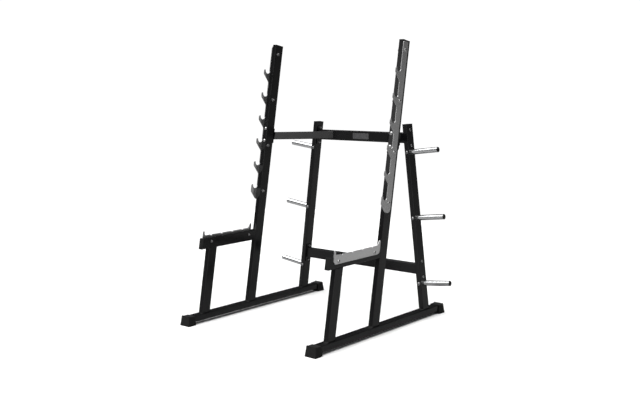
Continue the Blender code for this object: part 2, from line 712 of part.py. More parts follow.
def crossbar(name, drop, frames):
    """A level tube between the rear posts, with a flange welded to each end for two bolts."""
    z = bar_height(drop)
    turn = Euler((math.pi / 2, 0, math.pi / 2))
    bar = add_part(name + "_crossbar", tube_mesh(BEAM_LONG, BEAM_SHORT, FRAME_SPACING), "black_powder_coat",
                   None, (0, rear_post_y(z), z), turn)
    flange_x = BEAM_SHORT / 2 + GAP + FLANGE_THICKNESS / 2
    s = REAR_POST_LENGTH - drop
    outline = rounded_rectangle(BAR_FLANGE_WIDTH, BAR_FLANGE_HEIGHT, FLANGE_CORNER)
    holes = [circle(BOLT_HOLE, BOLT_SIDES, (0, h)) for h in (-BAR_BOLT_SPREAD / 2, BAR_BOLT_SPREAD / 2)]
    vent = circle(FLANGE_VENT, BOLT_SIDES)
    for side_name, side in SIDES.items():
        frame = frames[side_name]
        low_x, high_x = sorted((-side * flange_x, side * FRAME_SPACING / 2))
        low = (low_x, -BEAM_LONG, s - BAR_FLANGE_HEIGHT)
        high = (high_x, BEAM_LONG, s + BAR_FLANGE_HEIGHT)
        combine(bar, add_cutter(f"{side_name}_{name}_bar_trim", box_mesh(low, high), frame))
        plate = flat_mesh([outline, vent] + holes, FLANGE_THICKNESS)
        flange = add_cutter(f"{side_name}_{name}_bar_flange", plate, frame, (-side * flange_x, 0, s), OUTLINE_YZ)
        combine(bar, flange, "UNION")


def brace(side_name, side, upright_frame, bar_front):
    """The diagonal tube from a bolted flange behind the upright to the front of the upper crossbar."""
    start_y = upright_y(UPPER_BAR_Z) + POST_FACE
    start = Vector((side * HALF_SPACING, start_y, UPPER_BAR_Z))
    foot = Vector((side * BRACE_FOOT_X, bar_front, UPPER_BAR_Z))
    run = foot - start
    heading = math.atan2(run.y, run.x)
    length = run.length + 2 * BRACE_HEIGHT
    tube = add_part(side_name + "_brace", tube_mesh(BRACE_HEIGHT, BRACE_DEPTH, length), "black_powder_coat",
                    None, (start + foot) / 2, Euler((math.pi / 2, 0, heading + math.pi / 2)))
    flange_y = BEAM_LONG / 2 + GAP + FLANGE_THICKNESS / 2
    front_low = (-BEAM_LONG * 2, -BEAM_LONG, BRACE_FLANGE_S - BRACE_FLANGE_HEIGHT)
    front_high = (BEAM_LONG * 2, flange_y, BRACE_FLANGE_S + BRACE_FLANGE_HEIGHT)
    front_trim = add_cutter(side_name + "_brace_front_trim", box_mesh(front_low, front_high), upright_frame)
    combine(tube, front_trim)
    outline = rounded_rectangle(BRACE_FLANGE_WIDTH, BRACE_FLANGE_HEIGHT, FLANGE_CORNER)
    holes = [circle(BOLT_HOLE, BOLT_SIDES, (0, h)) for h in (-BRACE_BOLT_SPREAD / 2, BRACE_BOLT_SPREAD / 2)]
    flange = add_cutter(side_name + "_brace_flange", flat_mesh([outline] + holes, FLANGE_THICKNESS),
                        upright_frame, (0, flange_y, BRACE_FLANGE_S), OUTLINE_XZ)
    combine(tube, flange, "UNION")
    rear_low = (foot.x - 2 * BEAM_LONG, bar_front - GAP, UPPER_BAR_Z - BEAM_LONG)
    rear_high = (foot.x + 2 * BEAM_LONG, bar_front + 2 * BEAM_LONG, UPPER_BAR_Z + BEAM_LONG)
    combine(tube, add_cutter(side_name + "_brace_rear_trim", box_mesh(rear_low, rear_high)))


def badge_plate(bar_front):
    outline = rounded_rectangle(BADGE_WIDTH, BADGE_HEIGHT, TUBE_CORNER)
    add_part("badge_plate", flat_mesh([outline], BADGE_THICKNESS), "badge_grey", None,
             (BADGE_X, bar_front - GAP - BADGE_THICKNESS / 2, UPPER_BAR_Z), OUTLINE_XZ)


def build_rack():
    reach = FRAME_SPACING
    floor_low = (-reach, -BASE_LENGTH, RAIL_LIFT - BEAM_LONG)
    floor_trim = add_cutter("post_foot_trim", box_mesh(floor_low, (reach, BASE_LENGTH, RAIL_TOP + GAP)))
    arm_low = (-reach, -BASE_LENGTH, ARM_BOTTOM - GAP)
    arm_trim = add_cutter("front_post_top_trim", box_mesh(arm_low, (reach, BASE_LENGTH, 2 * ARM_TOP)))
    rear_frames = {}
    upright_frames = {}
    for side_name, side in SIDES.items():
        base_rails_and_boots(side_name, side)
        post_frame = front_post(side_name, side, floor_trim, arm_trim)
        upright_frames[side_name] = main_upright(side_name, side, floor_trim)
        spotter_arm(side_name, side, upright_frames[side_name], post_frame)
        rear_frames[side_name] = rear_post(side_name, side, floor_trim)
    crossbar("upper", UPPER_BAR_DROP, rear_frames)
    crossbar("lower", LOWER_BAR_DROP, rear_frames)
    bar_front = rear_post_y(UPPER_BAR_Z) - BEAM_SHORT / 2
    for side_name, side in SIDES.items():
        brace(side_name, side, upright_frames[side_name], bar_front)
    badge_plate(bar_front)


build_rack()
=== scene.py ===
# %% [markdown]
# # A free-standing squat rack
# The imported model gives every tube, plate, bolt and peg of the rack at its real size. This script
# dresses it: finer fasteners, weld beads, broken plate edges, and a finish for every surface.
# It is read from top to bottom, one piece or one finish at a time.

# %% Load the frame
import math

import bmesh
import bpy
from mathutils import Matrix, Vector


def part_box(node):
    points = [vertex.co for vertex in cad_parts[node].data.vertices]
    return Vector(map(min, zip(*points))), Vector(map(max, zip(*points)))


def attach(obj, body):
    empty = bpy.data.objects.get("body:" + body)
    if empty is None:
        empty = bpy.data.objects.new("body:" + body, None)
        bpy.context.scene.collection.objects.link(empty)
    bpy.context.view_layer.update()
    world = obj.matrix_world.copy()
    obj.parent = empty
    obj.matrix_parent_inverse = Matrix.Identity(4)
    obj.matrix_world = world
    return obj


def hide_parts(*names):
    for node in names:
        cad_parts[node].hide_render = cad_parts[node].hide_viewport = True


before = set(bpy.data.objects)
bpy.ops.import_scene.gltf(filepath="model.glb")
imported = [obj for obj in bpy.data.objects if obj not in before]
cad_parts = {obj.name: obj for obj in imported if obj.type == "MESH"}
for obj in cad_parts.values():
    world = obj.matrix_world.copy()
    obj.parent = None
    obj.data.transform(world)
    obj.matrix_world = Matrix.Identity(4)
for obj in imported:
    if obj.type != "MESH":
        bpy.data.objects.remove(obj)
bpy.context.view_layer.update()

scene = bpy.context.scene
print("CAD nodes:", len(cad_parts))

# %% [markdown]
# ## The camera
# The photograph was taken from the front right, a little above the hooks. Its vanishing directions
# give the camera's turn, pitch and focal length, so the camera is built from those angles and not
# from a target that it tracks. A small roll is left in, because the photograph has it.

# %% Camera
CAMERA_PLACE = Vector((3.7518, -4.3931, 1.5347))
CAMERA_AZIMUTH = math.radians(40.17)
CAMERA_PITCH = math.radians(7.34)
CAMERA_ROLL = math.radians(-0.307)
FOCAL_LENGTH = 50.39
SENSOR_WIDTH = 36.0


def camera_axes(azimuth, pitch, roll):
    """The camera's right, up and forward directions."""
    forward = Vector((-math.sin(azimuth) * math.cos(pitch),
                      math.cos(azimuth) * math.cos(pitch),
                      -math.sin(pitch)))
    level = forward.cross(Vector((0, 0, 1))).normalized()
    upright = level.cross(forward)
    right = level * math.cos(roll) + upright * math.sin(roll)
    up = upright * math.cos(roll) - level * math.sin(roll)
    return right, up, forward


right, up, forward = camera_axes(CAMERA_AZIMUTH, CAMERA_PITCH, CAMERA_ROLL)
camera = bpy.data.objects.new("camera", bpy.data.cameras.new("camera"))
scene.collection.objects.link(camera)
camera.data.lens = FOCAL_LENGTH
camera.data.sensor_width = SENSOR_WIDTH
camera_turn = Matrix((right, up, -forward)).transposed().to_4x4()
camera.matrix_world = Matrix.Translation(CAMERA_PLACE) @ camera_turn
scene.camera = camera
print("camera looks along", [round(value, 3) for value in forward])

# %% [markdown]
# ## The studio
# The photograph is a product shot on white: the floor and the background run together, with a thin
# soft shadow under the rails. A glossy black tube shows little colour of its own. What we see on it
# is what it mirrors, and in the photograph that is a dim room. So the floor is pale to the camera
# and greyer to every other ray, and the world does the same: white to the camera, and in bands to
# the rest, grey below the horizon, falling to a dark band above it, and bright overhead.

# %% Floor
FLOOR_HALF = 4.0
FLOOR_ROUGHNESS = 0.9
FLOOR_SPECULAR = 0.1
PALE_FLOOR = (0.95, 0.95, 0.95, 1)
DIM_FLOOR = (0.26, 0.26, 0.26, 1)


def new_object(name, work):
    """A mesh object at the origin from a bmesh, which is freed."""
    mesh = bpy.data.meshes.new(name)
    work.to_mesh(mesh)
    work.free()
    piece = bpy.data.objects.new(name, mesh)
    scene.collection.objects.link(piece)
    return piece


work = bmesh.new()
bmesh.ops.create_grid(work, x_segments=1, y_segments=1, size=FLOOR_HALF)
floor = new_object("floor", work)
floor_paint = bpy.data.materials.new("floor_paint")
floor_paint.use_nodes = True
tree = floor_paint.node_tree
floor_shader = tree.nodes["Principled BSDF"]
floor_shader.inputs["Roughness"].default_value = FLOOR_ROUGHNESS
floor_shader.inputs["Specular IOR Level"].default_value = FLOOR_SPECULAR
floor_ray = tree.nodes.new("ShaderNodeLightPath")
floor_mix = tree.nodes.new("ShaderNodeMix")
floor_mix.data_type = "RGBA"
floor_mix.inputs["A"].default_value = DIM_FLOOR
floor_mix.inputs["B"].default_value = PALE_FLOOR
tree.links.new(floor_ray.outputs["Is Camera Ray"], floor_mix.inputs["Factor"])
tree.links.new(floor_mix.outputs["Result"], floor_shader.inputs["Base Color"])
floor.data.materials.append(floor_paint)
print("floor", 2 * FLOOR_HALF, "m wide")

# %% [markdown]
# The world's bands come from a colour ramp over the height of a direction: -1 is straight down, 0
# the horizon and 1 straight up. A ramp runs from 0 to 1, so each height is first mapped to that.

# %% World
GROUND_LIGHT = 0.32
HORIZON_LIGHT = 0.03
ZENITH_LIGHT = 0.6
LIGHT_AT_HEIGHT = (
    (-0.16, GROUND_LIGHT),
    (0.0, GROUND_LIGHT * 0.6),
    (0.09, GROUND_LIGHT * 0.3),
    (0.18, HORIZON_LIGHT),
    (0.6, HORIZON_LIGHT),
    (0.97, ZENITH_LIGHT),
)
WHITE = (1, 1, 1, 1)
BACKGROUND_LIGHT = 1.05

world = bpy.data.worlds.new("studio")
world.use_nodes = True
scene.world = world
tree = world.node_tree
tree.nodes.clear()
direction = tree.nodes.new("ShaderNodeTexCoord")
split = tree.nodes.new("ShaderNodeSeparateXYZ")
height_share = tree.nodes.new("ShaderNodeMapRange")
height_share.inputs["From Min"].default_value = -1.0
bands = tree.nodes.new("ShaderNodeValToRGB")
bands.color_ramp.interpolation = "EASE"
for height, light in LIGHT_AT_HEIGHT:
    stop = bands.color_ramp.elements.new((height + 1) / 2)
    stop.color = (light, light, light, 1)
bands.color_ramp.elements.remove(bands.color_ramp.elements[0])
bands.color_ramp.elements.remove(bands.color_ramp.elements[-1])
room = tree.nodes.new("ShaderNodeBackground")
backdrop = tree.nodes.new("ShaderNodeBackground")
backdrop.inputs["Color"].default_value = WHITE
backdrop.inputs["Strength"].default_value = BACKGROUND_LIGHT
path = tree.nodes.new("ShaderNodeLightPath")
pick = tree.nodes.new("ShaderNodeMixShader")
output = tree.nodes.new("ShaderNodeOutputWorld")
tree.links.new(direction.outputs["Generated"], split.inputs[0])
tree.links.new(split.outputs["Z"], height_share.inputs["Value"])
tree.links.new(height_share.outputs["Result"], bands.inputs["Fac"])
tree.links.new(bands.outputs["Color"], room.inputs["Color"])
tree.links.new(path.outputs["Is Camera Ray"], pick.inputs["Fac"])
tree.links.new(room.outputs[0], pick.inputs[1])
tree.links.new(backdrop.outputs[0], pick.inputs[2])
tree.links.new(pick.outputs[0], output.inputs["Surface"])
scene.view_settings.view_transform = "Standard"
print("world light:", GROUND_LIGHT, "below,", HORIZON_LIGHT, "at the dark band,", ZENITH_LIGHT, "overhead")

# %% [markdown]
# A very wide soft sun stands for the ceiling's light and makes the faint shadow. Two dim panels
# stand in front, one on each side. They give the fasteners and the plates' edges something bright
# to mirror, and the camera doesn't see them.

# %% Lights
SKY_ANGLE = math.radians(80)
SKY_POWER = 3.9
SKY_PLACE = Vector((0, 0, 4))
SKY_FROM = Vector((-0.08, -0.33, 0.94))
RIGHT_SIZE = (3.0, 2.2)
RIGHT_PLACE = Vector((3.4, -3.4, 1.2))
RIGHT_TARGET = Vector((0, 0, 1.0))
RIGHT_POWER = 28
LEFT_SIZE = (2.4, 1.6)
LEFT_PLACE = Vector((-2.0, -3.4, 2.5))
LEFT_TARGET = Vector((0.5, 0.1, 1.3))
LEFT_POWER = 11


def new_light(name, kind, power, place):
    """A light that the camera doesn't see."""
    light = bpy.data.objects.new(name, bpy.data.lights.new(name, kind))
    light.data.energy = power
    light.location = place
    light.visible_camera = False
    scene.collection.objects.link(light)
    return light


def new_panel(name, power, place, target, size):
    """A soft rectangular panel that faces its target."""
    panel = new_light(name, "AREA", power, place)
    panel.data.shape = "RECTANGLE"
    panel.data.size, panel.data.size_y = size
    panel.rotation_euler = (place - target).to_track_quat("Z", "Y").to_euler()


sky = new_light("sky_light", "SUN", SKY_POWER, SKY_PLACE)
sky.data.angle = SKY_ANGLE
sky.rotation_euler = SKY_FROM.to_track_quat("Z", "Y").to_euler()
new_panel("front_panel", RIGHT_POWER, RIGHT_PLACE, RIGHT_TARGET, RIGHT_SIZE)
new_panel("left_panel", LEFT_POWER, LEFT_PLACE, LEFT_TARGET, LEFT_SIZE)
print("soft light from above, and panels at", list(RIGHT_PLACE), list(LEFT_PLACE))

# %% [markdown]
# ## Finishes
# Every finish starts from one Principled shader. Its even values are set on its own sockets, and
# what varies over the surface comes from noise in Object coordinates, in metres, so a grain has the
# same real size on every piece. Nearly all values of a noise lie between 0.3 and 0.7, so that range
# is what runs from the dark colour to the light one, and from the glossy patches to the dull ones.

# %% A new finish and its noise
def new_finish(name, metallic=0.0, specular=0.5):
    """A named material and its Principled shader."""
    material = bpy.data.materials.new(name)
    material.use_nodes = True
    shader = material.node_tree.nodes["Principled BSDF"]
    shader.inputs["Metallic"].default_value = metallic
    shader.inputs["Specular IOR Level"].default_value = specular
    return material, shader


def add_noise(material, scale, detail=3.0, stretch=(1, 1, 1), turn=(0, 0, 0)):
    """Noise over the surface. Scale is in features per metre, stretch draws it out along an axis."""
    tree = material.node_tree
    place = tree.nodes.new("ShaderNodeTexCoord")
    mapping = tree.nodes.new("ShaderNodeMapping")
    mapping.inputs["Rotation"].default_value = turn
    mapping.inputs["Scale"].default_value = [scale * share for share in stretch]
    noise = tree.nodes.new("ShaderNodeTexNoise")
    noise.inputs["Scale"].default_value = 1.0
    noise.inputs["Detail"].default_value = detail
    tree.links.new(place.outputs["Object"], mapping.inputs["Vector"])
    tree.links.new(mapping.outputs["Vector"], noise.inputs["Vector"])
    return noise.outputs["Fac"]


print("finish and noise helpers ready")

# %% What a noise drives
NOISE_LOW = 0.3
NOISE_HIGH = 0.7


def vary_colour(material, shader, noise, dark, light):
    """Base colour between two values, by a noise."""
    ramp = material.node_tree.nodes.new("ShaderNodeValToRGB")
    ramp.color_ramp.elements[0].position = NOISE_LOW
    ramp.color_ramp.elements[1].position = NOISE_HIGH
    ramp.color_ramp.elements[0].color = (*dark, 1)
    ramp.color_ramp.elements[1].color = (*light, 1)
    material.node_tree.links.new(noise, ramp.inputs["Fac"])
    material.node_tree.links.new(ramp.outputs["Color"], shader.inputs["Base Color"])


def vary_roughness(material, shader, noise, low, high):
    """Roughness between two values, by a noise."""
    spread = material.node_tree.nodes.new("ShaderNodeMapRange")
    spread.inputs["From Min"].default_value = NOISE_LOW
    spread.inputs["From Max"].default_value = NOISE_HIGH
    spread.inputs["To Min"].default_value = low
    spread.inputs["To Max"].default_value = high
    material.node_tree.links.new(noise, spread.inputs["Value"])
    material.node_tree.links.new(spread.outputs["Result"], shader.inputs["Roughness"])


def add_bump(material, shader, noise, depth):
    """Relief of a real depth in metres."""
    bump = material.node_tree.nodes.new("ShaderNodeBump")
    bump.inputs["Strength"].default_value = 1.0
    bump.inputs["Distance"].default_value = depth
    material.node_tree.links.new(noise, bump.inputs["Height"])
    material.node_tree.links.new(bump.outputs["Normal"], shader.inputs["Normal"])


print("colour, roughness and relief helpers ready")

# %% [markdown]
# ### Black powder coat
# The tubes are sprayed with powder and baked, which leaves a tough semi-gloss skin with a very fine
# orange peel. Its black is not quite even, so the colour and the gloss drift slowly along a tube.

# %% Black powder coat
powder_coat, shader = new_finish("black_powder_coat", specular=0.40)
drift = add_noise(powder_coat, scale=7)
vary_colour(powder_coat, shader, drift, dark=(0.0050, 0.0050, 0.0054), light=(0.0072, 0.0072, 0.0077))
vary_roughness(powder_coat, shader, add_noise(powder_coat, scale=25), low=0.15, high=0.21)
orange_peel = add_noise(powder_coat, scale=650, detail=1)
add_bump(powder_coat, shader, orange_peel, depth=0.00006)
print("powder coat made")

# %% [markdown]
# ### Grey plates
# The hook plates and the spotter plates are cut from steel sheet and have a satin grey metallic skin. Fine
# rolling lines run along each plate, which stretches the highlights across it. The lines follow the upright
# on the hook plates and the arm on the spotter plates, so there are two finishes. The spotter finish is also
# given a lighter grey than the hook finish. That is painted light: it stands for the brighter light that the
# spotter plates catch.
# The cut edges are duller and rougher than the faces. No second material is needed for them: both
# plates' faces look sideways, so where the surface's normal turns away from X it is a cut edge.

# %% Grey plate finishes
LEAN = math.radians(10.2)
GREY_SPREAD = 0.06
EDGE_ROUGHNESS = 0.4
EDGE_COLOUR = (0.52, 0.52, 0.52, 1)
EDGE_STARTS_AT = 0.95
EDGE_FULL_AT = 0.75


def blend_towards(material, kind, link, value, factor):
    """Puts a mix into a link, which leads it on to a value where a factor is one."""
    source, socket = link.from_socket, link.to_socket
    tree = material.node_tree
    blend = tree.nodes.new("ShaderNodeMix")
    blend.data_type = kind
    first, second = [item for item in blend.inputs if item.enabled and item.name in ("A", "B")]
    result = next(item for item in blend.outputs if item.enabled)
    second.default_value = value
    tree.links.new(factor, blend.inputs[0])
    tree.links.new(source, first)
    tree.links.new(result, socket)


def roughen_cut_edges(material, shader):
    """A duller, rougher skin on the plate's cut edges, which face away from its two flat sides."""
    tree = material.node_tree
    place = tree.nodes.new("ShaderNodeTexCoord")
    split = tree.nodes.new("ShaderNodeSeparateXYZ")
    sideways = tree.nodes.new("ShaderNodeMath")
    sideways.operation = "ABSOLUTE"
    edge = tree.nodes.new("ShaderNodeMapRange")
    edge.inputs["From Min"].default_value = EDGE_STARTS_AT
    edge.inputs["From Max"].default_value = EDGE_FULL_AT
    tree.links.new(place.outputs["Normal"], split.inputs[0])
    tree.links.new(split.outputs["X"], sideways.inputs[0])
    tree.links.new(sideways.outputs[0], edge.inputs["Value"])
    share = edge.outputs["Result"]
    blend_towards(material, "FLOAT", shader.inputs["Roughness"].links[0], EDGE_ROUGHNESS, share)
    blend_towards(material, "RGBA", shader.inputs["Base Color"].links[0], EDGE_COLOUR, share)


def plate_finish(name, grey, stretch, turn=(0, 0, 0)):
    """A satin metallic grey with rolling lines drawn out along one axis."""
    material, shader = new_finish(name, metallic=0.85)
    cloud = add_noise(material, scale=12)
    vary_colour(material, shader, cloud, dark=(grey,) * 3, light=(grey + GREY_SPREAD,) * 3)
    lines = add_noise(material, scale=900, detail=2, stretch=stretch, turn=turn)
    vary_roughness(material, shader, lines, low=0.15, high=0.19)
    roughen_cut_edges(material, shader)
    add_bump(material, shader, lines, depth=0.000005)
    return material


hook_steel = plate_finish("hook_plate_steel", grey=0.56, stretch=(1, 1, 0.04), turn=(-LEAN, 0, 0))
# The spotter plates' lighter grey is painted light, not a different steel.
lightened_spotter_steel = plate_finish("spotter_plate_steel_lightened", grey=0.70, stretch=(1, 0.04, 1))
print("two plate finishes made")

# %% [markdown]
# ### Zinc
# The fasteners are zinc plated, which leaves a slightly cloudy metal. The bolts that hold the plates
# and the braces are bright. The nuts, the flange bolts and the peg bolts have a duller, darker
# coat. Both kinds have the same grain, so one function makes them.

# %% Bright and dull zinc
def zinc_finish(name, dark, light, low, high, depth):
    """Plated metal between two colours and two roughnesses, with relief of a given depth."""
    material, shader = new_finish(name, metallic=1.0)
    vary_colour(material, shader, add_noise(material, scale=160), dark, light)
    vary_roughness(material, shader, add_noise(material, scale=220), low, high)
    add_bump(material, shader, add_noise(material, scale=1200, detail=2), depth)
    return material


zinc = zinc_finish("bright_zinc", dark=(0.50, 0.50, 0.51), light=(0.60, 0.60, 0.59),
                   low=0.15, high=0.24, depth=0.00002)
dull_zinc = zinc_finish("dull_zinc", dark=(0.27, 0.27, 0.275), light=(0.35, 0.35, 0.35),
                        low=0.22, high=0.32, depth=0.00003)
print("two zinc finishes made")

# %% [markdown]
# ### Chrome
# The pegs are chrome plated, and weight plates slide over them, so the chrome is a little hazed. Its
# relief is drawn out along the peg, as the plates' scuffs are, and is very shallow: more of it would
# break up the long highlight.

# %% Polished chrome
chrome, shader = new_finish("polished_chrome", metallic=1.0)
vary_colour(chrome, shader, add_noise(chrome, scale=18), dark=(0.80, 0.81, 0.82), light=(0.86, 0.87, 0.88))
vary_roughness(chrome, shader, add_noise(chrome, scale=60), low=0.15, high=0.21)
polish = add_noise(chrome, scale=700, detail=1, stretch=(0.05, 1, 1))
add_bump(chrome, shader, polish, depth=0.000004)
print("chrome made")

# %% [markdown]
# ### Rubber and plastic
# The boots are moulded rubber, matt and faintly dusty. The end caps are injection-moulded plastic,
# a little glossier, with a fine leathery grain. Both are a black without any metal in it.

# %% Black rubber and black plastic
rubber, shader = new_finish("black_rubber", specular=0.25)
vary_colour(rubber, shader, add_noise(rubber, scale=60), dark=(0.0085,) * 3, light=(0.0125,) * 3)
vary_roughness(rubber, shader, add_noise(rubber, scale=90), low=0.62, high=0.78)
add_bump(rubber, shader, add_noise(rubber, scale=900), depth=0.0001)

plastic, shader = new_finish("black_plastic", specular=0.3)
vary_colour(plastic, shader, add_noise(plastic, scale=40), dark=(0.0075,) * 3, light=(0.0105,) * 3)
vary_roughness(plastic, shader, add_noise(plastic, scale=200), low=0.44, high=0.56)
add_bump(plastic, shader, add_noise(plastic, scale=1400), depth=0.00004)
print("rubber and plastic made")

# %% [markdown]
# ### The bare badge
# A small plate sits on the upper crossbar. It is left bare here: a brushed dark grey, with its
# brush lines along the bar.

# %% Badge grey
badge_finish, shader = new_finish("badge_grey", metallic=0.5)
vary_colour(badge_finish, shader, add_noise(badge_finish, scale=50), dark=(0.12, 0.12, 0.124),
            light=(0.15, 0.15, 0.155))
brushing = add_noise(badge_finish, scale=900, stretch=(0.04, 1, 1))
vary_roughness(badge_finish, shader, brushing, low=0.33, high=0.43)
add_bump(badge_finish, shader, brushing, depth=0.00001)
print("badge finish made")

# %% [markdown]
# ## The steel tubes, plates and boots
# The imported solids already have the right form, but their faces are flat and their triangles aren't
# joined. A merged copy stands for each of them: it is shaded smooth over the rounded corners, and
# the cut plates also get the slightly broken edge that a deburred sheet has. The copy follows the
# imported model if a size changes, which a tube drawn anew here would not.

# %% Merged copies
SMOOTH_LIMIT = math.radians(40)
CORNER_LIMIT = math.radians(60)
FLAT_LIMIT = math.radians(0.3)
MERGE_DISTANCE = 0.000002


def finish_piece(piece, material, slot, *nodes):
    """Gives a new piece its finish and its body, and hides the nodes that it stands for. The slot is not
    used.
    """
    piece.data.materials.append(material)
    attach(piece, "root")
    if nodes:
        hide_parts(*nodes)


def shade(piece, limit=SMOOTH_LIMIT):
    """Smooth shading with sharp edges kept, weighted by face area so that flat faces stay flat."""
    piece.data.shade_smooth()
    piece.data.set_sharp_from_angle(angle=limit)
    normals = piece.modifiers.new("even_normals", "WEIGHTED_NORMAL")
    normals.keep_sharp = True
    return piece


def merged_work(node):
    """A bmesh of a node's triangles, joined, with its flat faces made whole."""
    work = bmesh.new()
    work.from_mesh(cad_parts[node].data)
    bmesh.ops.remove_doubles(work, verts=work.verts, dist=MERGE_DISTANCE)
    bmesh.ops.dissolve_limit(work, angle_limit=FLAT_LIMIT, verts=work.verts, edges=work.edges)
    return work


def sharp_edges(work):
    """The edges at which a piece turns a sharp corner."""
    return [edge for edge in work.edges if edge.is_manifold and edge.calc_face_angle(0) > CORNER_LIMIT]


def bevel_edges(work, edges, width, segments):
    """Bevels edges by a width."""
    bmesh.ops.bevel(work, geom=edges, offset=width, offset_type="OFFSET", segments=segments, profile=0.5,
                    affect="EDGES", clamp_overlap=True, material=-1)


def dressed_copy(node, material, slot, edge_width=0.0):
    """A merged copy in place of a node, with its sharp edges broken by a width."""
    work = merged_work(node)
    if edge_width:
        bevel_edges(work, sharp_edges(work), edge_width, segments=2)
    finish_piece(shade(new_object(node + "_finished", work)), material, slot, node)


print("copy helpers ready")

# %% Tubes
TUBES = ("base_rail", "front_post", "main_upright", "spotter_arm", "rear_post", "brace")
CROSSBARS = ("upper_crossbar", "lower_crossbar")
SIDES = {"left": -1, "right": 1}

for side in SIDES:
    for part in TUBES:
        dressed_copy(f"{side}_{part}", powder_coat, "black_powder_coat")
for bar in CROSSBARS:
    dressed_copy(bar, powder_coat, "black_powder_coat")
print("tubes dressed:", len(SIDES) * len(TUBES) + len(CROSSBARS))

# %% Plates, boots and caps
PLATE_EDGE = 0.0005
CAP_EDGE = 0.0008

for side in SIDES:
    dressed_copy(side + "_hook_plate", hook_steel, "grey_plate", PLATE_EDGE)
    dressed_copy(side + "_spotter_plate", lightened_spotter_steel, "grey_plate", PLATE_EDGE)
    for boot in ("front_boot", "rear_boot"):
        dressed_copy(f"{side}_{boot}", rubber, "black_rubber")
    for cap in ("upright_cap", "spotter_arm_cap", "rear_post_cap"):
        dressed_copy(f"{side}_{cap}", plastic, "black_plastic", CAP_EDGE)
dressed_copy("badge_plate", badge_finish, "badge_grey", PLATE_EDGE)
print("plates, boots and caps dressed")

# %% [markdown]
# ## Fasteners
# The plates, flanges and pegs are held by domed bolts with a washer, and a hexagon nut on the far
# side with the bolt's end standing out of it. A turned piece is quickest from its profile: a few
# points from the axis out, spun once round. Each piece is made upright at the origin, and its mesh
# is then turned and moved to its seat, so that the object itself stays at the origin.

# %% Turned pieces
ROUND_STEPS = 32
SEAM_DISTANCE = 0.00001
WASHER_RADIUS = 0.0118
WASHER_HEIGHT = 0.0015
WASHER_EDGE = 0.0003


def lathe(work, profile, steps=ROUND_STEPS):
    """Spins (radius, height) points, listed from the top of the axis outwards, about Z."""
    rim = [work.verts.new((radius, 0, height)) for radius, height in profile]
    edges = [work.edges.new(pair) for pair in zip(rim, rim[1:])]
    bmesh.ops.spin(work, geom=rim + edges, cent=(0, 0, 0), axis=(0, 0, 1), dvec=(0, 0, 0),
                   angle=2 * math.pi, steps=steps, use_merge=True)
    bmesh.ops.remove_doubles(work, verts=work.verts, dist=SEAM_DISTANCE)
    bmesh.ops.recalc_face_normals(work, faces=work.faces)


def washer_points(radius):
    """A washer's profile, from its upper face out and back in to the axis below."""
    return [(radius - WASHER_EDGE, WASHER_HEIGHT), (radius, WASHER_HEIGHT - WASHER_EDGE), (radius, 0), (0, 0)]


def place_along(piece, seat, direction):
    """Turns a piece's Z axis to a direction and moves it to its seat, in the mesh itself."""
    turn = Vector(direction).normalized().to_track_quat("Z", "Y").to_matrix().to_4x4()
    piece.data.transform(Matrix.Translation(seat) @ turn)
    return piece


print("turning helpers ready")

# %% [markdown]
# The heads are flattened domes. The bolts through the plates and the pegs are turned with a hexagon
# key, so their domes are cut flat on top and have a socket. A lathed head with an open top gives
# room for it: a six-sided floor is set lower down, its sides are extruded up to the top, and the
# ring between hexagon and dome is filled with triangles.

# %% Dome and socket
DOME_RIM = math.radians(12)
SOCKET_ACROSS = 0.006
SOCKET_DEPTH = 0.0032


def dome_points(radius, height, base, steps=8):
    """A flattened dome's profile above a base height, from its top to its steep rim."""
    points = [(0, base + height)]
    for step in range(1, steps + 1):
        turn = math.pi / 2 - (math.pi / 2 - DOME_RIM) * step / steps
        points.append((radius * math.cos(turn) / math.cos(DOME_RIM), base + height * math.sin(turn)))
    return points


def cut_socket(work, top):
    """A hexagon socket inside the open ring at the top of a head."""
    ring = [edge for edge in work.edges if edge.is_boundary]
    corner = SOCKET_ACROSS / math.sqrt(3)
    hexagon = bmesh.ops.create_circle(work, cap_ends=True, radius=corner, segments=6)["verts"]
    bmesh.ops.translate(work, verts=hexagon, vec=(0, 0, top - SOCKET_DEPTH))
    sides = [edge for edge in work.edges if all(vert in hexagon for vert in edge.verts)]
    walls = bmesh.ops.extrude_edge_only(work, edges=sides)["geom"]
    raised = [item for item in walls if isinstance(item, bmesh.types.BMVert)]
    bmesh.ops.translate(work, verts=raised, vec=(0, 0, SOCKET_DEPTH))
    mouth = [item for item in walls if isinstance(item, bmesh.types.BMEdge) and item.is_boundary]
    bmesh.ops.triangle_fill(work, edges=ring + mouth, use_beauty=True, normal=(0, 0, 1))
    bmesh.ops.recalc_face_normals(work, faces=work.faces)


print("dome and socket helpers ready")

# %% Domed bolt head with a washer
HEAD_FOOT = 0.97
SOCKET_RIM = 0.0041
FLAT_TOP_DROP = 0.0004
POINT_SPACING = 0.0003
HEAD_SHARP = math.radians(45)


def bolt_head(name, seat, direction, radius, height, washer=WASHER_RADIUS, socket=False):
    """A domed head on its washer, with or without a socket, standing on its seat."""
    dome = dome_points(radius, height - WASHER_HEIGHT, WASHER_HEIGHT)
    top = height - FLAT_TOP_DROP
    if socket:
        flank = [(x, z) for x, z in dome if x > SOCKET_RIM + POINT_SPACING and z < top]
        dome = [(SOCKET_RIM, top)] + flank
    work = bmesh.new()
    lathe(work, dome + [(radius * HEAD_FOOT, WASHER_HEIGHT)] + washer_points(washer))
    if socket:
        cut_socket(work, top)
    return place_along(shade(new_object(name, work), HEAD_SHARP), seat, direction)


print("bolt head ready")

# %% [markdown]
# The nut starts as a six-sided prism, and its upper edges are bevelled where a real nut is
# chamfered. The washer under it and the end of the bolt that stands out of it are lathed into the
# same mesh.

# %% Hexagon nut with the bolt's end
NUT_ACROSS = 0.017
NUT_CHAMFER = 0.0011
NUT_SHARP = math.radians(35)
THREAD_RADIUS = 0.0049
THREAD_CHAMFER = 0.0008
THREAD_STEPS = 20


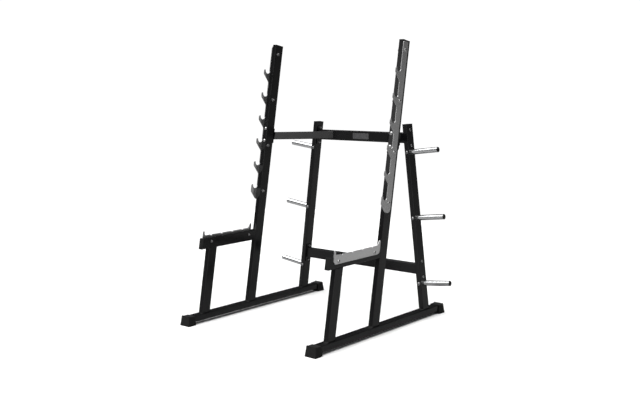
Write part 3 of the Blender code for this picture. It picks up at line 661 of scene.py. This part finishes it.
def nut_and_end(name, seat, direction, height, end_height, size=1.0):
    """A washer, a chamfered nut and the bolt's end, standing on the seat. Size scales its width."""
    corner = size * NUT_ACROSS / 2 / math.cos(math.pi / 6)
    work = bmesh.new()
    hexagon = bmesh.ops.create_circle(work, cap_ends=True, radius=corner, segments=6)["verts"]
    bmesh.ops.translate(work, verts=hexagon, vec=(0, 0, WASHER_HEIGHT))
    raised = bmesh.ops.extrude_face_region(work, geom=work.faces[:])["geom"]
    top = [item for item in raised if isinstance(item, bmesh.types.BMVert)]
    bmesh.ops.translate(work, verts=top, vec=(0, 0, height - WASHER_HEIGHT))
    bmesh.ops.recalc_face_normals(work, faces=work.faces)
    upper_edges = [edge for edge in work.edges if all(vert in top for vert in edge.verts)]
    bevel_edges(work, upper_edges, NUT_CHAMFER, segments=1)
    lathe(work, [(0, WASHER_HEIGHT)] + washer_points(size * WASHER_RADIUS))
    thread = size * THREAD_RADIUS
    tip = height + end_height
    inside = height / 2
    lathe(work, [(0, tip), (thread - THREAD_CHAMFER, tip), (thread, tip - THREAD_CHAMFER),
                 (thread, inside), (0, inside)], THREAD_STEPS)
    return place_along(shade(new_object(name, work), NUT_SHARP), seat, direction)


print("nut ready")

# %% [markdown]
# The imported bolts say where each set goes. A bolt's direction is known from the lean of the post
# that it passes through, and the middle of its points lies on its axis, so its two ends follow.

# %% Directions of the posts and ends of a bolt
SPLAY = math.radians(7.07)
RAKE = math.radians(0.4)


def leaning(vector):
    """A direction in an upright's own frame, which leans back."""
    return Matrix.Rotation(-LEAN, 3, "X") @ Vector(vector)


def splayed(sign, vector):
    """A direction in a rear post's own frame, which splays outwards at its foot."""
    return Matrix.Rotation(-sign * SPLAY, 3, "Y") @ Matrix.Rotation(-RAKE, 3, "X") @ Vector(vector)


def node_points(node):
    """A node's corners, each one once."""
    corners = {tuple(round(value, 6) for value in vertex.co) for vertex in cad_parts[node].data.vertices}
    return [Vector(corner) for corner in corners]


def axis_ends(node, direction):
    """The two ends of a bolt along a direction: the top of its head and its far end."""
    points = node_points(node)
    middle = sum(points, Vector()) / len(points)
    reach = [(point - middle).dot(direction) for point in points]
    return middle + direction * max(reach), middle + direction * min(reach)


hook_bolt_ends = axis_ends("right_hook_bolt_1", Vector((1, 0, 0)))
print("a hook bolt reaches over", round((hook_bolt_ends[0] - hook_bolt_ends[1]).length, 4), "m")

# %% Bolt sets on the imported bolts' axes
HOOK_HEAD = (0.0100, 0.0068)
BRACE_HEAD = (0.0100, 0.0068)
PEG_HEAD = (0.0100, 0.0083)
NUT_HEIGHT = 0.010
BOLT_END = 0.004
HOOK_BOLTS = (1, 2, 3, 4)
BRACE_PLACES = ("lower", "upper")
PEG_PLACES = ("top", "middle", "bottom")


def bolt_set(node, direction, head_size, finish, socket=False):
    """A head and a nut in place of a packed bolt. The head's size is its radius and its height."""
    radius, height = head_size
    top, bottom = axis_ends(node, direction)
    head_seat = top - direction * height
    nut_seat = bottom + direction * (NUT_HEIGHT + BOLT_END)
    head = bolt_head(node + "_head", head_seat, direction, radius, height, socket=socket)
    nut = nut_and_end(node + "_nut", nut_seat, -direction, NUT_HEIGHT, BOLT_END)
    finish_piece(head, finish, "bright_zinc", node)
    finish_piece(nut, dull_zinc, "bright_zinc")


for side, sign in SIDES.items():
    for number in HOOK_BOLTS:
        bolt_set(f"{side}_hook_bolt_{number}", Vector((sign, 0, 0)), HOOK_HEAD, zinc, socket=True)
    for place in BRACE_PLACES:
        bolt_set(f"{side}_brace_bolt_{place}", leaning((0, -1, 0)), BRACE_HEAD, zinc)
    for place in PEG_PLACES:
        bolt_set(f"{side}_peg_bolt_{place}", splayed(sign, (0, -1, 0)), PEG_HEAD, dull_zinc, socket=True)
print("bolt sets on packed bolts:", len(SIDES) * len(HOOK_BOLTS + BRACE_PLACES + PEG_PLACES))

# %% [markdown]
# Two more groups of bolts are too small a detail for the solids, which only have their holes: two
# through each spotter plate and its arm, and four through each rear post into the crossbars' end
# flanges. Their places are the holes' own, along the arm and up the rear post from the rail. What
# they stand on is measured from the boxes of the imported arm, plate and rail.

# %% Bolts through the spotter plates and the crossbar flanges
REAR_POST_Y = 0.485
SPOTTER_BOLTS = {"front": -0.4397, "rear": -0.0942}
SPOTTER_BOLT_Z = 0.5225
FLANGE_BOLTS = (1.186, 1.082, 0.316, 0.212)
SPOTTER_HEAD = (0.0095, 0.0062, 0.0105)
FLANGE_HEAD = (0.0080, 0.0055, 0.0090)
SMALL_NUT = (0.0075, 0.0025, 0.78)

arm_low, arm_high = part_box("right_spotter_arm")
frame_x = (arm_low.x + arm_high.x) / 2
tube_face = (arm_high.x - arm_low.x) / 2
plate_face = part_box("right_spotter_plate")[1].x - frame_x
rail_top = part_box("right_base_rail")[1].z


def extra_bolt(name, head_seat, nut_seat, direction, head_size, finish, socket):
    """A head and a nut through a hole. The head's size is its radius, height and washer's radius."""
    head = bolt_head(name + "_head", head_seat, direction, *head_size, socket=socket)
    finish_piece(head, finish, "bright_zinc")
    nut = nut_and_end(name + "_nut", nut_seat, -direction, *SMALL_NUT)
    finish_piece(nut, dull_zinc, "bright_zinc")


for side, sign in SIDES.items():
    outwards = Vector((sign, 0, 0))
    for place, y in SPOTTER_BOLTS.items():
        axis = Vector((sign * frame_x, y, SPOTTER_BOLT_Z))
        extra_bolt(f"{side}_spotter_bolt_{place}", axis + outwards * plate_face, axis - outwards * tube_face,
                   outwards, SPOTTER_HEAD, zinc, socket=True)
    outwards = splayed(sign, (sign, 0, 0))
    for number, height in enumerate(FLANGE_BOLTS, start=1):
        axis = Vector((sign * frame_x, REAR_POST_Y, rail_top)) + splayed(sign, (0, 0, height))
        extra_bolt(f"{side}_flange_bolt_{number}", axis + outwards * tube_face, axis - outwards * plate_face,
                   outwards, FLANGE_HEAD, dull_zinc, socket=False)
print("bolt sets through drilled holes:", len(SIDES) * (len(SPOTTER_BOLTS) + len(FLANGE_BOLTS)))

# %% [markdown]
# ## Weld beads
# Each post stands on its rail in a weld. So does the spotter arm against its upright, the front post
# under the arm, the crossbars on their flanges and the braces on the upper bar. A bead is a rounded
# ripple along a seam. A curve with a round section suits it: its path follows the seam, and the
# width of its points swells and shrinks every few millimetres, which makes the ripple. The curve is
# then turned into a mesh.

# %% Weld bead
BEAD_RADIUS = 0.0026
BEAD_RESOLUTION = 2
BEAD_PITCH = 0.0015
BEAD_RIPPLE = (1.0, 0.93, 0.84)
BEAD_CORNER = 0.005
CORNER_PULL = 0.3
BEAD_SHARP = math.radians(60)


def seam_path(corners):
    """Points along a closed outline, at the bead's pitch, with its corners cut short."""
    path = []
    for index, corner in enumerate(corners):
        back = (corners[index - 1] - corner).normalized() * BEAD_CORNER
        ahead = (corners[(index + 1) % len(corners)] - corner).normalized() * BEAD_CORNER
        path += [corner + back, corner + (back + ahead) * CORNER_PULL, corner + ahead]
    points = []
    for start, end in zip(path, path[1:] + path[:1]):
        steps = max(int((end - start).length / BEAD_PITCH), 1)
        points += [start.lerp(end, step / steps) for step in range(steps)]
    return points


def weld_bead(name, corners):
    """A rippled bead along a closed seam."""
    curve = bpy.data.curves.new(name, "CURVE")
    curve.dimensions = "3D"
    curve.bevel_depth = BEAD_RADIUS
    curve.bevel_resolution = BEAD_RESOLUTION
    points = seam_path(corners)
    line = curve.splines.new("POLY")
    line.points.add(len(points) - 1)
    line.use_cyclic_u = True
    for index, (spot, point) in enumerate(zip(line.points, points)):
        spot.co = (*point, 1)
        spot.radius = BEAD_RIPPLE[index % len(BEAD_RIPPLE)]
    draft = bpy.data.objects.new(name, curve)
    bead = bpy.data.objects.new(name, bpy.data.meshes.new_from_object(draft))
    bpy.data.objects.remove(draft)
    bpy.data.curves.remove(curve)
    scene.collection.objects.link(bead)
    finish_piece(shade(bead, BEAD_SHARP), powder_coat, "black_powder_coat")


def seam(centre, first, second):
    """The four corners of a seam from its middle and its two half widths."""
    centre, first, second = Vector(centre), Vector(first), Vector(second)
    near, far = centre - second, centre + second
    return [near - first, near + first, far + first, far - first]


print("weld helpers ready")

# %% [markdown]
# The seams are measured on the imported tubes. A leaning post's section is longer where it is cut
# level, by the cosine of its lean. The lowest, foremost corner of its box is the front corner of
# its foot, and half that section further back is its axis.

# %% Where the seams lie
BAR_HEIGHTS = {"upper": 1.1834, "lower": 0.3200}
END_DEPTH = 0.0001

slope = math.tan(LEAN)
splay = math.tan(SPLAY)
beam_half = (arm_high.z - arm_low.z) / 2
post_half = beam_half / math.cos(LEAN)
arm_middle = (arm_low.z + arm_high.z) / 2


def foot_y(node):
    """Where a leaning post's axis meets the rail's top."""
    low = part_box(node)[0]
    return low.y + post_half - (low.z - rail_top) * slope


def brace_end(side):
    """The middle and the half widths of the end that a brace presses on the upper bar."""
    end_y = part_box(side + "_brace")[1].y
    end = [point for point in node_points(side + "_brace") if point.y > end_y - END_DEPTH]
    low = Vector((min(point.x for point in end), end_y, min(point.z for point in end)))
    high = Vector((max(point.x for point in end), end_y, max(point.z for point in end)))
    return (low + high) / 2, (high - low) / 2


upright_y = foot_y("right_main_upright")
front_post_y = foot_y("right_front_post")
print("upright at y", round(upright_y, 4), "and front post at y", round(front_post_y, 4))

# %% Weld beads at the joints
SEAT = 0.0004
BEAD_INSET = 0.001

across = (tube_face, 0, 0)
tucked = (tube_face - BEAD_INSET, 0, 0)
for side, sign in SIDES.items():
    x = sign * frame_x
    for foot, y, half in (("upright", upright_y, post_half), ("front_post", front_post_y, post_half),
                          ("rear_post", REAR_POST_Y, beam_half)):
        weld_bead(f"{side}_{foot}_foot_weld", seam((x, y, rail_top + SEAT), across, (0, half, 0)))
    under_arm = front_post_y + (arm_low.z - rail_top) * slope
    weld_bead(side + "_front_post_top_weld", seam((x, under_arm, arm_low.z), tucked, (0, post_half, 0)))
    arm_rear = upright_y + (arm_middle - rail_top) * slope - post_half
    weld_bead(side + "_arm_weld", seam((x, arm_rear, arm_middle), tucked, (0, beam_half * slope, beam_half)))
    for bar, z in BAR_HEIGHTS.items():
        bar_y = sum(corner.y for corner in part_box(bar + "_crossbar")) / 2
        flange_x = frame_x - (z - rail_top) * splay - plate_face / math.cos(SPLAY) - SEAT
        weld_bead(f"{side}_{bar}_bar_weld", seam((sign * flange_x, bar_y, z), (0, tube_face, 0),
                                                 (-sign * beam_half * splay, 0, beam_half)))
    middle, half = brace_end(side)
    middle.z = BAR_HEIGHTS["upper"]
    weld_bead(side + "_brace_weld", seam(middle, (half.x, 0, 0), (0, 0, half.z)))

# %% [markdown]
# ## Weight pegs
# Each peg is a chromed tube with a black plug. The tube is turned from its wall's outline, with a
# softened rim, and the plug from its dome, its flange and the stem that grips the bore.

# %% Weight pegs and their plugs
PEG_RADIUS = 0.0175
PEG_WALL = 0.002
PEG_STEPS = 64
RIM_EDGE = 0.0006
PLUG_DOME = 0.004
PLUG_RIM = 0.0008
PLUG_GAP = 0.0003
PLUG_PLAY = 0.0004
PLUG_STEM = 0.012


def peg_tube(name, base, tip):
    """A chromed tube from its root at the post to its tip."""
    axis = tip - base
    length = axis.length
    inner = PEG_RADIUS - PEG_WALL
    work = bmesh.new()
    lathe(work, [(inner, 0), (PEG_RADIUS, 0), (PEG_RADIUS, length - RIM_EDGE),
                 (PEG_RADIUS - RIM_EDGE, length), (inner, length), (inner, 0)], PEG_STEPS)
    return place_along(shade(new_object(name, work)), base, axis)


def peg_plug(name, seat, direction):
    """A domed plug whose stem sits in the peg's bore."""
    stem = PEG_RADIUS - PEG_WALL - PLUG_PLAY
    profile = dome_points(PEG_RADIUS, PLUG_DOME - PLUG_RIM, PLUG_RIM, steps=10)
    profile += [(PEG_RADIUS, PLUG_GAP), (stem, PLUG_GAP), (stem, -PLUG_STEM), (0, -PLUG_STEM)]
    work = bmesh.new()
    lathe(work, profile, PEG_STEPS)
    return place_along(shade(new_object(name, work)), seat, direction)


for side, sign in SIDES.items():
    outwards = splayed(sign, (sign, 0, 0))
    for place in PEG_PLACES:
        tube = f"{side}_weight_peg_{place}"
        tip, base = axis_ends(tube, outwards)
        finish_piece(peg_tube(tube + "_chrome", base, tip), chrome, "chrome", tube)
        plug = f"{side}_peg_cap_{place}"
        finish_piece(peg_plug(plug + "_moulded", tip, outwards), plastic, "black_plastic", plug)
print("pegs and plugs:", 2 * len(SIDES) * len(PEG_PLACES))
